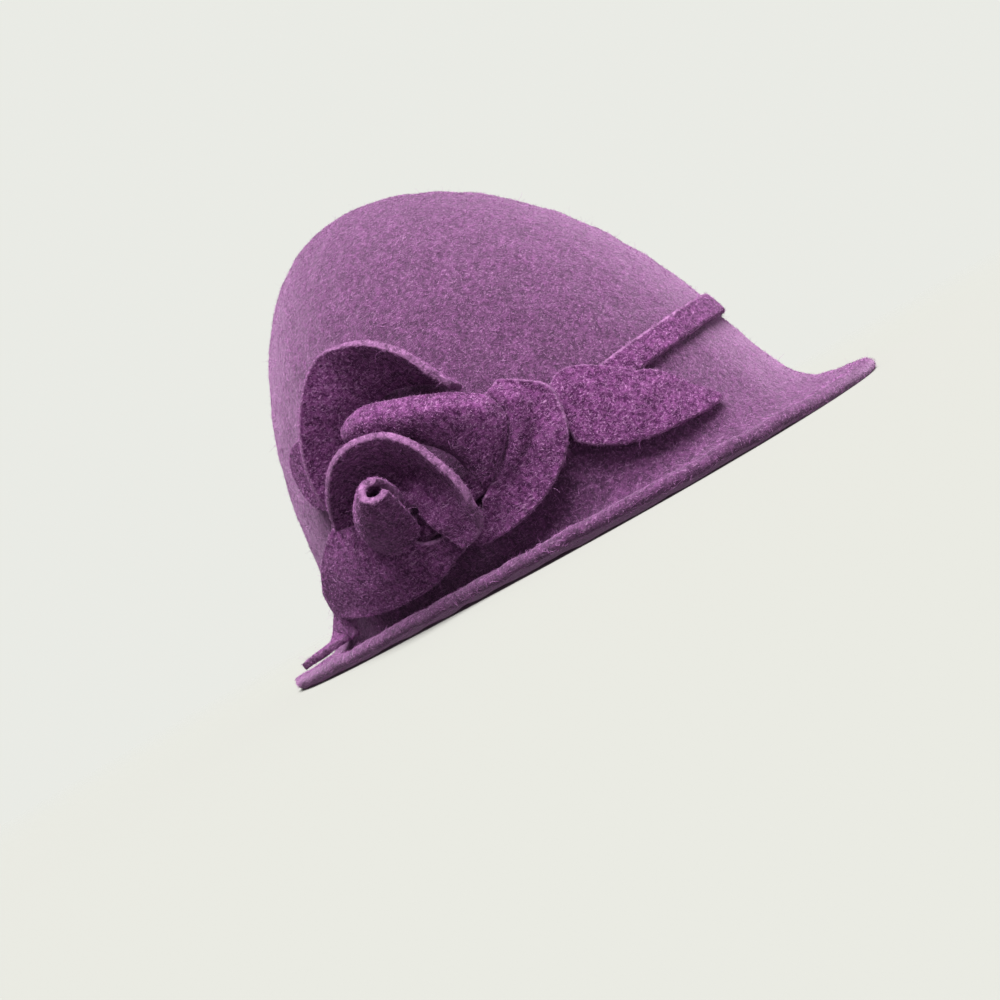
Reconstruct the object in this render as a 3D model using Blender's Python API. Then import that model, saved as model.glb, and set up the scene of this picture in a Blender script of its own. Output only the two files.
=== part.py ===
"""Cloche hat of wool felt with a felt rose, resting on its brim.

Run with: blender --background --python part.py
Lengths are metres, Z is up, the floor is z = 0, the front is -Y and the rose is on -X.
A place on the hat is (phi, level): phi turns from +X, the wearer's left, towards +Y, the back, and
level is 1 at the top of the crown, 0 at the crease, -1 at the hem's inner line and -2 at the edge.
"""

import math

import bpy
import numpy as np

MM = 0.001

FELT = 3.0 * MM
GAP = 0.5 * MM
HEM_WIDTH = 12.0 * MM
HEM_THICK = 5.2 * MM
HAT_HEIGHT = 168.0 * MM
CROWN_HALF_WIDTH = 86.0 * MM
CROWN_HALF_LENGTH = 104.0 * MM
CROWN_LEAN_BACK = 17.0 * MM
CROWN_LEAN_RIGHT = 4.0 * MM
CROWN_POINTED = 1.6
CROWN_FULLER_SIDES = 0.6
CROWN_ROUND = 2.0
BRIM_FLARE = math.radians(10)
RIGHT_SIDE_LIFT = 0.8 * MM
PRESSED = 0.5 * MM
BAND_HEIGHT = 10.0 * MM
# The middle of the base, with the rose, seen from the crown's centre: it becomes the origin
BASE_MIDDLE = (-5.55 * MM, 0.9 * MM)

# Sizes that change round the hat, each given at four sides: mm, and degrees for the hem's slope
#                left   back  right  front
BRIM_REACH = (112.5, 144.5, 92.5, 142.5)
CREASE_HEIGHT = (40.0, 21.0, 28.0, 47.0)
HEM_SLOPE = (-32.0, -4.0, 10.0, 0.0)

STEPS_ROUND = 64
CROWN_ROWS = 11
BRIM_ROWS = 5
HEM_ROWS = 2

ROSE_HEIGHT = 48.0 * MM
ROSE_CENTRE = (5.0, -8.0)

PURPLE = (0.105, 0.022, 0.125)
FELT_ROUGHNESS = 0.95

# Petals, in mm about the rose's centre. turn is in degrees from the front, upwards. Each place along a
# rib is a reach from the centre and a lift off the hat.
#             turn   root      floor       belly         rim
INNER_PETAL = (
    (165, (2, 9.0), (24, 9.5), (30, 12.5), (34, 16.5)),
    (134, (2, 9.0), (22, 9.8), (27, 14.5), (30.2, 23.5)),
    (95, (2, 9.0), (17, 9.8), (25, 17.0), (30.7, 28.5)),
    (63, (2, 9.0), (14.5, 9.8), (23.5, 17.0), (30.6, 27.3)),
    (20, (2, 9.0), (14, 9.8), (21, 14.5), (26.9, 23.4)),
    (-13, (2, 9.0), (15, 9.8), (22, 13.5), (27.2, 19.6)),
    (-36, (2, 9.0), (16, 9.6), (22.5, 11.3), (27.1, 14.8)),
    (-55, (2, 9.0), (15, 9.4), (20, 10.2), (24.3, 11.6)),
    (-70, (2, 9.0), (14, 9.2), (18.5, 9.8), (21.5, 10.6)),
)
#              turn   root       slope        ridge         rim
MIDDLE_PETAL = (
    (98, (25, 6.5), (29, 15), (34, 20), (38.5, 18.5)),
    (82, (25, 6.5), (29, 18), (35.5, 24.5), (40.5, 20.5)),
    (61, (25, 6.5), (29, 19), (36, 25.5), (41, 20.5)),
    (46, (25, 6.5), (30, 19), (38.5, 26), (43.5, 20.5)),
    (33, (25, 6.5), (32, 18.5), (43, 25), (47.5, 19)),
    (23, (25, 6.5), (33, 17), (46, 22.5), (50, 16.5)),
    (16, (25, 6.5), (32, 15), (44.5, 19), (48.5, 13.5)),
    (9, (25, 6.5), (31, 13), (40, 15.5), (44, 12)),
    (2, (25, 6.5), (29, 10.5), (34, 12.5), (37.5, 11)),
    (-4, (25, 6.5), (27.5, 8.5), (30.5, 10), (32.5, 9.8)),
)
#             turn   root        roll         hollow       edge
FRONT_PETAL = (
    (27, (43.5, 6.0), (48.5, 12), (51.5, 12), (54, 11.0)),
    (20, (43.5, 6.0), (52, 14), (56, 11), (59, 11.5)),
    (13, (42, 6.0), (51.5, 13.5), (57, 10), (63.5, 12.5)),
    (5, (38, 6.0), (47, 11.5), (53, 8.5), (63, 12.5)),
    (-2, (34, 6.0), (40.5, 9.5), (47, 7.5), (61.5, 12.0)),
    (-10, (30, 5.8), (33.5, 7.0), (41, 6.5), (57, 10.0)),
    (-20, (25, 6.0), (28, 6.5), (34, 6.5), (49.5, 9.0)),
    (-30, (23.5, 5.8), (26.5, 6), (30.5, 6.3), (42, 8.5)),
    (-40, (22.5, 5.6), (24.5, 5.8), (27.5, 6.0), (35.5, 8.0)),
    (-52, (21.5, 5.6), (23, 5.7), (25, 5.9), (29.5, 7.0)),
    (-64, (19.5, 5.6), (21, 5.7), (22.5, 5.8), (25, 6.5)),
)
#             turn   root       belly         rim
UPPER_PETAL = (
    (42, (44, 2.8), (45.5, 8.5), (47, 14)),
    (50, (44, 1.8), (48, 10), (50.5, 18)),
    (64, (44, 1.5), (53, 12.5), (58.5, 22)),
    (83, (43, 1.5), (56, 13.5), (65, 22)),
    (93, (41, 1.5), (55, 13.5), (66, 21)),
    (108, (37, 1.5), (48.5, 13), (57.5, 21)),
    (126, (33.5, 1.5), (41.5, 12), (47.5, 20)),
    (144, (30.5, 1.5), (36, 10.5), (40.5, 17)),
    (159, (29, 1.8), (33, 8), (36.5, 12)),
)
#             turn   root        belly        edge
LOWER_PETAL = (
    (286, (13, 5.4), (17, 5.6), (21.5, 6.0)),
    (268, (13, 5.5), (17, 5.8), (23, 7)),
    (251, (13, 5.5), (19, 6.3), (27.5, 8)),
    (238, (13, 5.6), (20, 7), (32.5, 8.5)),
    (224, (13, 5.6), (24, 8), (40, 9)),
    (212, (13, 5.6), (28, 9), (50, 9)),
    (204, (13, 5.6), (32, 9.5), (59, 10)),
    (196, (13, 5.6), (36, 10.5), (69, 10.5)),
    (190, (13, 5.6), (36, 11), (69, 11)),
    (182, (13, 5.6), (33, 10), (60, 12)),
    (174, (13, 5.6), (29, 7.5), (50, 11)),
    (165, (13, 5.6), (26, 6.2), (41.5, 9)),
)
#            turn   root        middle       edge
BACK_PETAL = (
    (122, (46, 2.2), (51, 4.6), (56, 5.6)),
    (129, (44, 2.2), (52, 5.2), (60.5, 6.4)),
    (136, (43, 2.2), (53, 5.4), (65.5, 6.5)),
    (143, (43, 2.2), (53, 5.4), (65, 6.5)),
    (150, (43, 2.2), (51, 5.0), (59.5, 6)),
    (157, (44, 2.2), (48, 4.2), (52, 5.2)),
)

# Leaves, a row for each place from root to tip: the two edges as (phi in degrees, level), how far the
# edges stand off the hat and how much the middle bulges, both in mm
#         upper edge      lower edge     off    bulge
FRONT_LEAF = (
    ((222.5, 0.10), (221.5, -0.14), 5.9, 0.0),
    ((226, 0.125), (224.5, -0.26), 5.9, 0.5),
    ((230, 0.115), (229, -0.37), 5.9, 1.1),
    ((235, 0.06), (234.5, -0.46), 5.9, 1.1),
    ((241.5, -0.05), (241, -0.50), 5.4, 0.8),
    ((247.5, -0.30), (247, -0.51), 3.2, 0.4),
    ((251.5, -0.46), (251, -0.50), 2.3, 0.0),
)
BACK_LEAF = (
    ((137, 0.10), (141.5, -0.02), 5.6, 0.0),
    ((133.5, 0.04), (142, -0.32), 5.9, 0.9),
    ((130.5, -0.22), (141, -0.80), 5.6, 1.2),
    ((128, -0.75), (138.5, -1.30), 5.2, 1.2),
    ((126.2, -1.30), (133.5, -1.67), 4.0, 0.6),
    ((125.5, -1.72), (129, -1.87), 3.2, 0.2),
    ((125, -1.93), (126, -1.97), 2.6, 0.0),
)

BUD_FOOT = (-6.5, -4.7, 12.1)
BUD_TIP = (12.0, 5.0, 34.8)
BUD_FOOT_RADIUS = 14.0
BUD_TIP_RADIUS = 4.2
BUD_TURNS = 1.02
BUD_FOOT_PITCH = 4.5
BUD_TIP_PITCH = 3.0
BUD_START = math.radians(-38)
# How much fewer turns the tip has than the foot
BUD_TIP_CUT = 0.26


def smooth_between(stations, values, at):
    """Values at the given places, by cubic pieces through the table's rows."""
    stations, values, at = (np.asarray(a, float) for a in (stations, values, at))
    if stations[0] > stations[-1]:
        stations, values = stations[::-1], values[::-1]
    slopes = np.gradient(values, stations, axis=0)
    k = np.clip(np.searchsorted(stations, at) - 1, 0, len(stations) - 2)
    width = stations[k + 1] - stations[k]
    s = (at - stations[k]) / width
    shape = s.shape + (1,) * (values.ndim - 1)
    s, width = s.reshape(shape), width.reshape(shape)
    a, b = values[k], values[k + 1]
    da, db = slopes[k] * width, slopes[k + 1] * width
    return (
        a * (1 + 2 * s) * (1 - s) ** 2
        + b * s * s * (3 - 2 * s)
        + da * s * (1 - s) ** 2
        - db * s * s * (1 - s)
    )


def round_the_hat(sides, phi):
    """A size given at the left, back, right and front, changing smoothly between them."""
    left, back, right, front = sides
    return (
        (left + back + right + front) / 4
        + (left - right) / 2 * np.cos(phi)
        + (back - front) / 2 * np.sin(phi)
        + (left + right - back - front) / 4 * np.cos(2 * phi)
    )


def hat_sections(phi):
    """Radius and height of the crease, the hem's inner line and the edge, and the hem's slope."""
    crease_r = 1 / np.hypot(np.cos(phi) / CROWN_HALF_WIDTH, np.sin(phi) / CROWN_HALF_LENGTH)
    crease_z = round_the_hat(CREASE_HEIGHT, phi) * MM
    edge_r = round_the_hat(BRIM_REACH, phi) * MM
    slope = np.radians(round_the_hat(HEM_SLOPE, phi))
    lift = RIGHT_SIDE_LIFT * np.clip((-np.cos(phi) - 0.3) / 0.7, 0, 1)
    half = HEM_THICK / 2
    middle_low = half + HEM_WIDTH * np.maximum(0, -np.sin(slope))
    line_z = middle_low + half * np.cos(slope) + lift - PRESSED
    line_r = edge_r - HEM_WIDTH * np.cos(slope)
    edge_z = line_z + HEM_WIDTH * np.sin(slope)
    return crease_r, crease_z, line_r, line_z, edge_r, edge_z, slope


def hat_point(phi, level):
    """Point on the outer face of the hat."""
    phi, level = np.broadcast_arrays(np.asarray(phi, float), np.asarray(level, float))
    crease_r, crease_z, line_r, line_z, edge_r, edge_z, slope = hat_sections(phi)
    up = np.clip(level, 0, 1)
    pointed = CROWN_POINTED + CROWN_FULLER_SIDES * np.cos(phi) ** 4
    crown_r = crease_r * np.maximum(1 - up**pointed, 0) ** (1 / CROWN_ROUND)
    crown_z = crease_z * (1 - up) + HAT_HEIGHT * up
    out = np.clip(-level, 0, 1)
    pull = np.hypot(line_r - crease_r, line_z - crease_z) / 3
    start = np.arctan2(line_z - crease_z, line_r - crease_r) - BRIM_FLARE
    r_path = (crease_r, crease_r + pull * np.cos(start), line_r - pull * np.cos(slope), line_r)
    z_path = (crease_z, crease_z + pull * np.sin(start), line_z - pull * np.sin(slope), line_z)
    weights = ((1 - out) ** 3, 3 * out * (1 - out) ** 2, 3 * out**2 * (1 - out), out**3)
    brim_r = sum(w * r for w, r in zip(weights, r_path))
    brim_z = sum(w * z for w, z in zip(weights, z_path))
    hem = np.clip(-level - 1, 0, 1)
    r = np.where(level >= 0, crown_r, np.where(level >= -1, brim_r, line_r + hem * (edge_r - line_r)))
    z = np.where(level >= 0, crown_z, np.where(level >= -1, brim_z, line_z + hem * (edge_z - line_z)))
    x = r * np.cos(phi) - CROWN_LEAN_RIGHT * up
    y = r * np.sin(phi) + CROWN_LEAN_BACK * up
    return np.stack([x, y, z], -1)


def hat_normal(phi, level, step=1e-3):
    """Outward direction of the hat's outer face."""
    round_way = hat_point(phi + step, level) - hat_point(phi - step, level)
    up_way = hat_point(phi, level + step) - hat_point(phi, level - step)
    normal = np.cross(round_way, up_way)
    return normal / np.linalg.norm(normal, axis=-1, keepdims=True)


def right_side_x(y, z):
    """x of the hat's outer face on the rose's side, at a place seen straight from that side."""
    low, high = np.full_like(y, math.pi / 2), np.full_like(y, 3 * math.pi / 2)
    for _ in range(26):
        phi = (low + high) / 2
        down, up = np.full_like(y, -0.85), np.full_like(y, 0.999)
        for _ in range(22):
            level = (down + up) / 2
            below = hat_point(phi, level)[..., 2] < z
            down, up = np.where(below, level, down), np.where(below, up, level)
        further_back = hat_point(phi, level)[..., 1] > y
        low, high = np.where(further_back, phi, low), np.where(further_back, high, phi)
    return hat_point(phi, level)[..., 0]


def rose_point(forward, above, lift):
    """Point near the rose: mm forward of and above its origin on the hat's side, and mm off the hat."""
    y, z = -forward * MM, ROSE_HEIGHT + above * MM
    return np.stack([right_side_x(y, z) - lift * MM, y, z], -1)


def sheet_normals(grid):
    across = np.gradient(grid, axis=0)
    along = np.gradient(grid, axis=1)
    normal = np.cross(across, along)
    return normal / np.linalg.norm(normal, axis=-1, keepdims=True)


def new_object(name, points, faces):
    mesh = bpy.data.meshes.new(name)
    points = points - np.array([*BASE_MIDDLE, 0])
    mesh.from_pydata([tuple(p) for p in points], [], faces)
    mesh.validate()
    mesh.update()
    mesh.shade_smooth()
    mesh.set_sharp_from_angle(angle=math.radians(50))
    mesh.materials.append(felt_material(name))
    obj = bpy.data.objects.new(name, mesh)
    bpy.context.scene.collection.objects.link(obj)
    return obj


def felt_material(name):
    material = bpy.data.materials.new(name + "_felt")
    material.use_nodes = True
    shader = material.node_tree.nodes["Principled BSDF"]
    shader.inputs["Base Color"].default_value = (*PURPLE, 1)
    shader.inputs["Roughness"].default_value = FELT_ROUGHNESS
    shader.inputs["Metallic"].default_value = 0
    return material


def grid_faces(rows, columns, first=0, flip=False, closed=False):
    faces = []
    for i in range(rows if closed else rows - 1):
        for j in range(columns - 1):
            a, b = i * columns + j, ((i + 1) % rows) * columns + j
            quad = (a, b, b + 1, a + 1)
            faces.append(tuple(first + k for k in (quad[::-1] if flip else quad)))
    return faces


def felt_sheet(name, grid):
    """A solid of felt's thickness about a grid of middle points, with cut edges."""
    rows, columns = grid.shape[:2]
    offset = sheet_normals(grid) * FELT / 2
    count = rows * columns
    points = np.concatenate([(grid + offset).reshape(-1, 3), (grid - offset).reshape(-1, 3)])
    faces = grid_faces(rows, columns) + grid_faces(rows, columns, count, flip=True)
    border = [j for j in range(columns)]
    border += [i * columns + columns - 1 for i in range(1, rows)]
    border += [(rows - 1) * columns + j for j in range(columns - 2, -1, -1)]
    border += [i * columns for i in range(rows - 2, 0, -1)]
    for a, b in zip(border, border[1:] + border[:1]):
        faces.append((a, b, b + count, a + count))
    return new_object(name, points, faces)


def rib_petal(name, table, ribs, points_on_rib):
    """A petal lofted through its table's ribs, which fan out from the rose's centre."""
    turns = [row[0] for row in table]
    shapes = [row[1:] for row in table]
    turn = np.linspace(turns[0], turns[-1], ribs)
    places = smooth_between(turns, shapes, turn)
    share = np.linspace(0, places.shape[1] - 1, points_on_rib)
    curve = smooth_between(range(places.shape[1]), places.swapaxes(0, 1), share)
    reach, lift = curve[..., 0], curve[..., 1]
    angle = np.radians(turn)[None, :]
    forward = ROSE_CENTRE[0] + reach * np.cos(angle)
    above = ROSE_CENTRE[1] + reach * np.sin(angle)
    return felt_sheet(name, rose_point(forward, above, lift))


def leaf(name, table, stations, across):
    """A leaf lofted between its two edges."""
    share = np.linspace(0, len(table) - 1, stations)
    columns = [[*row[0], *row[1], row[2], row[3]] for row in table]
    rows = smooth_between(range(len(table)), columns, share)
    off, bulge = rows[:, 4:5] * MM, rows[:, 5:6] * MM
    edges = []
    for phi, level in ((rows[:, 0], rows[:, 1]), (rows[:, 2], rows[:, 3])):
        phi = np.radians(phi)
        edges.append((hat_point(phi, level) + hat_normal(phi, level) * off, hat_normal(phi, level)))
    s = np.linspace(0, 1, across)[:, None, None]
    arch = 4 * s * (1 - s) * bulge
    middle = edges[0][1] + edges[1][1]
    middle /= np.linalg.norm(middle, axis=-1, keepdims=True)
    return felt_sheet(name, edges[0][0] * (1 - s) + edges[1][0] * s + middle * arch)


def bud(name, steps_round, steps_up):
    """A rolled cone: the sheet winds inwards from its outer cut edge."""
    along, rise = np.linspace(0, 1, steps_round)[:, None], np.linspace(0, 1, steps_up)[None, :]
    wind = along * (BUD_TURNS - BUD_TIP_CUT * rise)
    angle = BUD_START - 2 * math.pi * wind
    radius = BUD_FOOT_RADIUS * (1 - rise) + BUD_TIP_RADIUS * rise
    radius = radius - wind * (BUD_FOOT_PITCH * (1 - rise) + BUD_TIP_PITCH * rise)
    foot, tip = np.array(BUD_FOOT), np.array(BUD_TIP)
    forward = foot[0] + (tip[0] - foot[0]) * rise + radius * np.cos(angle)
    above = foot[1] + (tip[1] - foot[1]) * rise + radius * np.sin(angle)
    lean = (tip - foot) / (tip[2] - foot[2])
    tilt = lean[0] * np.cos(angle) + lean[1] * np.sin(angle)
    lift = foot[2] + (tip[2] - foot[2]) * rise - radius * tilt * rise
    y, z = -forward * MM, ROSE_HEIGHT + above * MM
    # The foot follows the hat's side, and the tip is cut square
    side = right_side_x(np.array([-foot[0] * MM]), np.array([ROSE_HEIGHT + foot[1] * MM]))[0]
    x = right_side_x(y, z) * (1 - rise) + side * rise - lift * MM
    return felt_sheet(name, np.stack([x, y, z], -1))


def hat_body(name):
    """The hood: its outer face, the rounded edge and the inner face, closed at the top."""
    phi = np.linspace(0, 2 * math.pi, STEPS_ROUND, endpoint=False)[:, None]
    crown = np.sin(np.linspace(math.pi / 2, 0, CROWN_ROWS + 1))[1:]
    brim = -np.linspace(0, 1, BRIM_ROWS + 1)[1:]
    hem = -1 - np.linspace(0, 1, HEM_ROWS + 1)[1:]
    level = np.concatenate([crown, brim, hem])[None, :]
    outer = hat_point(phi, level)
    # The crease and the hem's line take the mean of the directions at both sides of them
    below, above = np.maximum(level - 0.02, -1.99), np.minimum(level + 0.02, 0.995)
    direction = hat_normal(phi, below) + hat_normal(phi, above)
    normal = direction / np.linalg.norm(direction, axis=-1, keepdims=True)
    at_edge = hat_normal(phi, np.array([[-1.5]]))
    outward = np.stack([np.cos(phi), np.sin(phi), 0 * phi], -1)
    outward = outward - at_edge * (outward * at_edge).sum(-1, keepdims=True)
    outward /= np.linalg.norm(outward, axis=-1, keepdims=True)
    half = HEM_THICK / 2
    rounding = np.linspace(0, math.pi, 5)[1:-1][None, :, None]
    edge_centre = outer[:, -1:] - at_edge * half
    edge = edge_centre + half * (at_edge * np.cos(rounding) + outward * np.sin(rounding))
    line = CROWN_ROWS + BRIM_ROWS - 1
    under_hem = outer[:, line:] - at_edge * HEM_THICK
    inside = outer[:, :line] - normal[:, :line] * FELT
    step = outer[:, line : line + 1] - at_edge * (HEM_THICK * 0.45 + FELT * 0.55) - outward * 0.6 * MM
    fold = outer[:, line : line + 1] - at_edge * FELT - outward * 1.4 * MM
    rings = np.concatenate([outer, edge, under_hem[:, ::-1], step, fold, inside[:, ::-1]], 1)
    rings[..., 2] = np.maximum(rings[..., 2], 0)
    rows, columns = rings.shape[:2]
    top = np.array([-CROWN_LEAN_RIGHT, CROWN_LEAN_BACK, HAT_HEIGHT])
    points = np.concatenate([rings.reshape(-1, 3), [top, top - (0, 0, FELT)]])
    faces = grid_faces(rows, columns, flip=True, closed=True)
    count = rows * columns
    for i in range(rows):
        a, b = i * columns, ((i + 1) % rows) * columns
        faces.append((count, a, b))
        faces.append((count + 1, b + columns - 1, a + columns - 1))
    return new_object(name, points, faces)


def band(name):
    """The strip round the foot of the crown."""
    phi = np.linspace(0, 2 * math.pi, STEPS_ROUND, endpoint=False)[:, None]
    _, crease_z, *_ = hat_sections(phi)
    corner = 0.5 * MM
    low, high = 0.6 * MM, 0.6 * MM + BAND_HEIGHT
    near, far = GAP, GAP + FELT
    section = (
        (low, near), (low, far - corner), (low + corner, far),
        (high - corner, far), (high, far - corner), (high, near),
    )
    rings = []
    for height, off in section:
        level = height / (HAT_HEIGHT - crease_z)
        rings.append(hat_point(phi, level) + hat_normal(phi, np.maximum(level, 0.01)) * off)
    rings = np.concatenate(rings, 1)
    rows, columns = rings.shape[:2]
    faces = grid_faces(rows, columns, closed=True)
    for i in range(rows):
        a, b = i * columns, ((i + 1) % rows) * columns
        faces.append((a + columns - 1, b + columns - 1, b, a))
    return new_object(name, rings.reshape(-1, 3), faces)


def main():
    for obj in list(bpy.data.objects):
        bpy.data.objects.remove(obj, do_unlink=True)
    hat_body("hat_body")
    band("band")
    leaf("front_leaf", FRONT_LEAF, 15, 6)
    leaf("back_leaf", BACK_LEAF, 15, 6)
    rib_petal("back_petal", BACK_PETAL, 9, 5)
    rib_petal("upper_petal", UPPER_PETAL, 17, 6)
    rib_petal("front_petal", FRONT_PETAL, 19, 9)
    rib_petal("lower_petal", LOWER_PETAL, 19, 7)
    rib_petal("middle_petal", MIDDLE_PETAL, 15, 8)
    rib_petal("inner_petal", INNER_PETAL, 21, 8)
    bud("bud", 30, 7)


main()
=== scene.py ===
"""Looks of the felt cloche hat: fine felt surfaces, cut edges and fuzz, on a pale floor.

Lengths are metres, Z is up, the front is -Y and the rose is on -X. A place on the hat is (phi,
level), as in the part's source: level is 1 at the top of the crown, 0 at the crease, -1 at the hem's
inner line and -2 at the edge.
"""

import math

import bpy
import numpy as np
from mathutils import Matrix, Vector

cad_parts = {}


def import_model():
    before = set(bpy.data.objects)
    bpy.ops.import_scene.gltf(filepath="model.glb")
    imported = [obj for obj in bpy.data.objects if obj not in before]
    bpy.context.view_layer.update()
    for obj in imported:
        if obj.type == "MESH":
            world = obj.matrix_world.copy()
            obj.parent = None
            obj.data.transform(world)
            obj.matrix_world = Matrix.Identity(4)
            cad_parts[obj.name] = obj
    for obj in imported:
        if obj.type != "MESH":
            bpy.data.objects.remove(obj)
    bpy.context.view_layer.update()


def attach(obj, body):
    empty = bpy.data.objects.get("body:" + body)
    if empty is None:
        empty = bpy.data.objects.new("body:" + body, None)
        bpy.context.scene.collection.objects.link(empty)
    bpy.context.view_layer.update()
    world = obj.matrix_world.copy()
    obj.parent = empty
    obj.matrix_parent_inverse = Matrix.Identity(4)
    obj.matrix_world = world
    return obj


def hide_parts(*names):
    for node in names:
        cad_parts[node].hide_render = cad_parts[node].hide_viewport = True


MM = 0.001

FELT = 3.0 * MM
GAP = 0.5 * MM
HEM_WIDTH = 12.0 * MM
HEM_THICK = 5.2 * MM
HAT_HEIGHT = 168.0 * MM
CROWN_HALF_WIDTH = 86.0 * MM
CROWN_HALF_LENGTH = 104.0 * MM
CROWN_LEAN_BACK = 17.0 * MM
CROWN_LEAN_RIGHT = 4.0 * MM
CROWN_POINTED = 1.6
CROWN_FULLER_SIDES = 0.6
CROWN_ROUND = 2.0
BRIM_FLARE = math.radians(10)
RIGHT_SIDE_LIFT = 0.8 * MM
PRESSED = 0.5 * MM
BAND_HEIGHT = 10.0 * MM
BASE_MIDDLE = (-5.55 * MM, 0.9 * MM)
EDGE_ROUNDING = 1.2 * MM

# Sizes that change round the hat, each given at four sides: mm, and degrees for the hem's slope
#                left   back  right  front
BRIM_REACH = (112.5, 144.5, 92.5, 142.5)
CREASE_HEIGHT = (40.0, 21.0, 28.0, 47.0)
HEM_SLOPE = (-32.0, -4.0, 10.0, 0.0)

ROSE_HEIGHT = 48.0 * MM
ROSE_CENTRE = (5.0, -8.0)

# Petals, in mm about the rose's centre. turn is in degrees from the front, upwards. Each place along a
# rib is a reach from the centre and a lift off the hat.
#             turn   root      floor       belly         rim
INNER_PETAL = (
    (165, (2, 9.0), (24, 9.5), (30, 12.5), (34, 16.5)),
    (134, (2, 9.0), (22, 9.8), (27, 14.5), (30.2, 23.5)),
    (95, (2, 9.0), (17, 9.8), (25, 17.0), (30.7, 28.5)),
    (63, (2, 9.0), (14.5, 9.8), (23.5, 17.0), (30.6, 27.3)),
    (20, (2, 9.0), (14, 9.8), (21, 14.5), (26.9, 23.4)),
    (-13, (2, 9.0), (15, 9.8), (22, 13.5), (27.2, 19.6)),
    (-36, (2, 9.0), (16, 9.6), (22.5, 11.3), (27.1, 14.8)),
    (-55, (2, 9.0), (15, 9.4), (20, 10.2), (24.3, 11.6)),
    (-70, (2, 9.0), (14, 9.2), (18.5, 9.8), (21.5, 10.6)),
)
#              turn   root       slope        ridge         rim
MIDDLE_PETAL = (
    (98, (25, 6.5), (29, 15), (34, 20), (38.5, 18.5)),
    (82, (25, 6.5), (29, 18), (35.5, 24.5), (40.5, 20.5)),
    (61, (25, 6.5), (29, 19), (36, 25.5), (41, 20.5)),
    (46, (25, 6.5), (30, 19), (38.5, 26), (43.5, 20.5)),
    (33, (25, 6.5), (32, 18.5), (43, 25), (47.5, 19)),
    (23, (25, 6.5), (33, 17), (46, 22.5), (50, 16.5)),
    (16, (25, 6.5), (32, 15), (44.5, 19), (48.5, 13.5)),
    (9, (25, 6.5), (31, 13), (40, 15.5), (44, 12)),
    (2, (25, 6.5), (29, 10.5), (34, 12.5), (37.5, 11)),
    (-4, (25, 6.5), (27.5, 8.5), (30.5, 10), (32.5, 9.8)),
)
#             turn   root        roll         hollow       edge
FRONT_PETAL = (
    (27, (43.5, 6.0), (48.5, 12), (51.5, 12), (54, 11.0)),
    (20, (43.5, 6.0), (52, 14), (56, 11), (59, 11.5)),
    (13, (42, 6.0), (51.5, 13.5), (57, 10), (63.5, 12.5)),
    (5, (38, 6.0), (47, 11.5), (53, 8.5), (63, 12.5)),
    (-2, (34, 6.0), (40.5, 9.5), (47, 7.5), (61.5, 12.0)),
    (-10, (30, 5.8), (33.5, 7.0), (41, 6.5), (57, 10.0)),
    (-20, (25, 6.0), (28, 6.5), (34, 6.5), (49.5, 9.0)),
    (-30, (23.5, 5.8), (26.5, 6), (30.5, 6.3), (42, 8.5)),
    (-40, (22.5, 5.6), (24.5, 5.8), (27.5, 6.0), (35.5, 8.0)),
    (-52, (21.5, 5.6), (23, 5.7), (25, 5.9), (29.5, 7.0)),
    (-64, (19.5, 5.6), (21, 5.7), (22.5, 5.8), (25, 6.5)),
)
#             turn   root       belly         rim
UPPER_PETAL = (
    (42, (44, 2.8), (45.5, 8.5), (47, 14)),
    (50, (44, 1.8), (48, 10), (50.5, 18)),
    (64, (44, 1.5), (53, 12.5), (58.5, 22)),
    (83, (43, 1.5), (56, 13.5), (65, 22)),
    (93, (41, 1.5), (55, 13.5), (66, 21)),
    (108, (37, 1.5), (48.5, 13), (57.5, 21)),
    (126, (33.5, 1.5), (41.5, 12), (47.5, 20)),
    (144, (30.5, 1.5), (36, 10.5), (40.5, 17)),
    (159, (29, 1.8), (33, 8), (36.5, 12)),
)
#             turn   root        belly        edge
LOWER_PETAL = (
    (286, (13, 5.4), (17, 5.6), (21.5, 6.0)),
    (268, (13, 5.5), (17, 5.8), (23, 7)),
    (251, (13, 5.5), (19, 6.3), (27.5, 8)),
    (238, (13, 5.6), (20, 7), (32.5, 8.5)),
    (224, (13, 5.6), (24, 8), (40, 9)),
    (212, (13, 5.6), (28, 9), (50, 9)),
    (204, (13, 5.6), (32, 9.5), (59, 10)),
    (196, (13, 5.6), (36, 10.5), (69, 10.5)),
    (190, (13, 5.6), (36, 11), (69, 11)),
    (182, (13, 5.6), (33, 10), (60, 12)),
    (174, (13, 5.6), (29, 7.5), (50, 11)),
    (165, (13, 5.6), (26, 6.2), (41.5, 9)),
)
#            turn   root        middle       edge
BACK_PETAL = (
    (122, (46, 2.2), (51, 4.6), (56, 5.6)),
    (129, (44, 2.2), (52, 5.2), (60.5, 6.4)),
    (136, (43, 2.2), (53, 5.4), (65.5, 6.5)),
    (143, (43, 2.2), (53, 5.4), (65, 6.5)),
    (150, (43, 2.2), (51, 5.0), (59.5, 6)),
    (157, (44, 2.2), (48, 4.2), (52, 5.2)),
)

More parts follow.
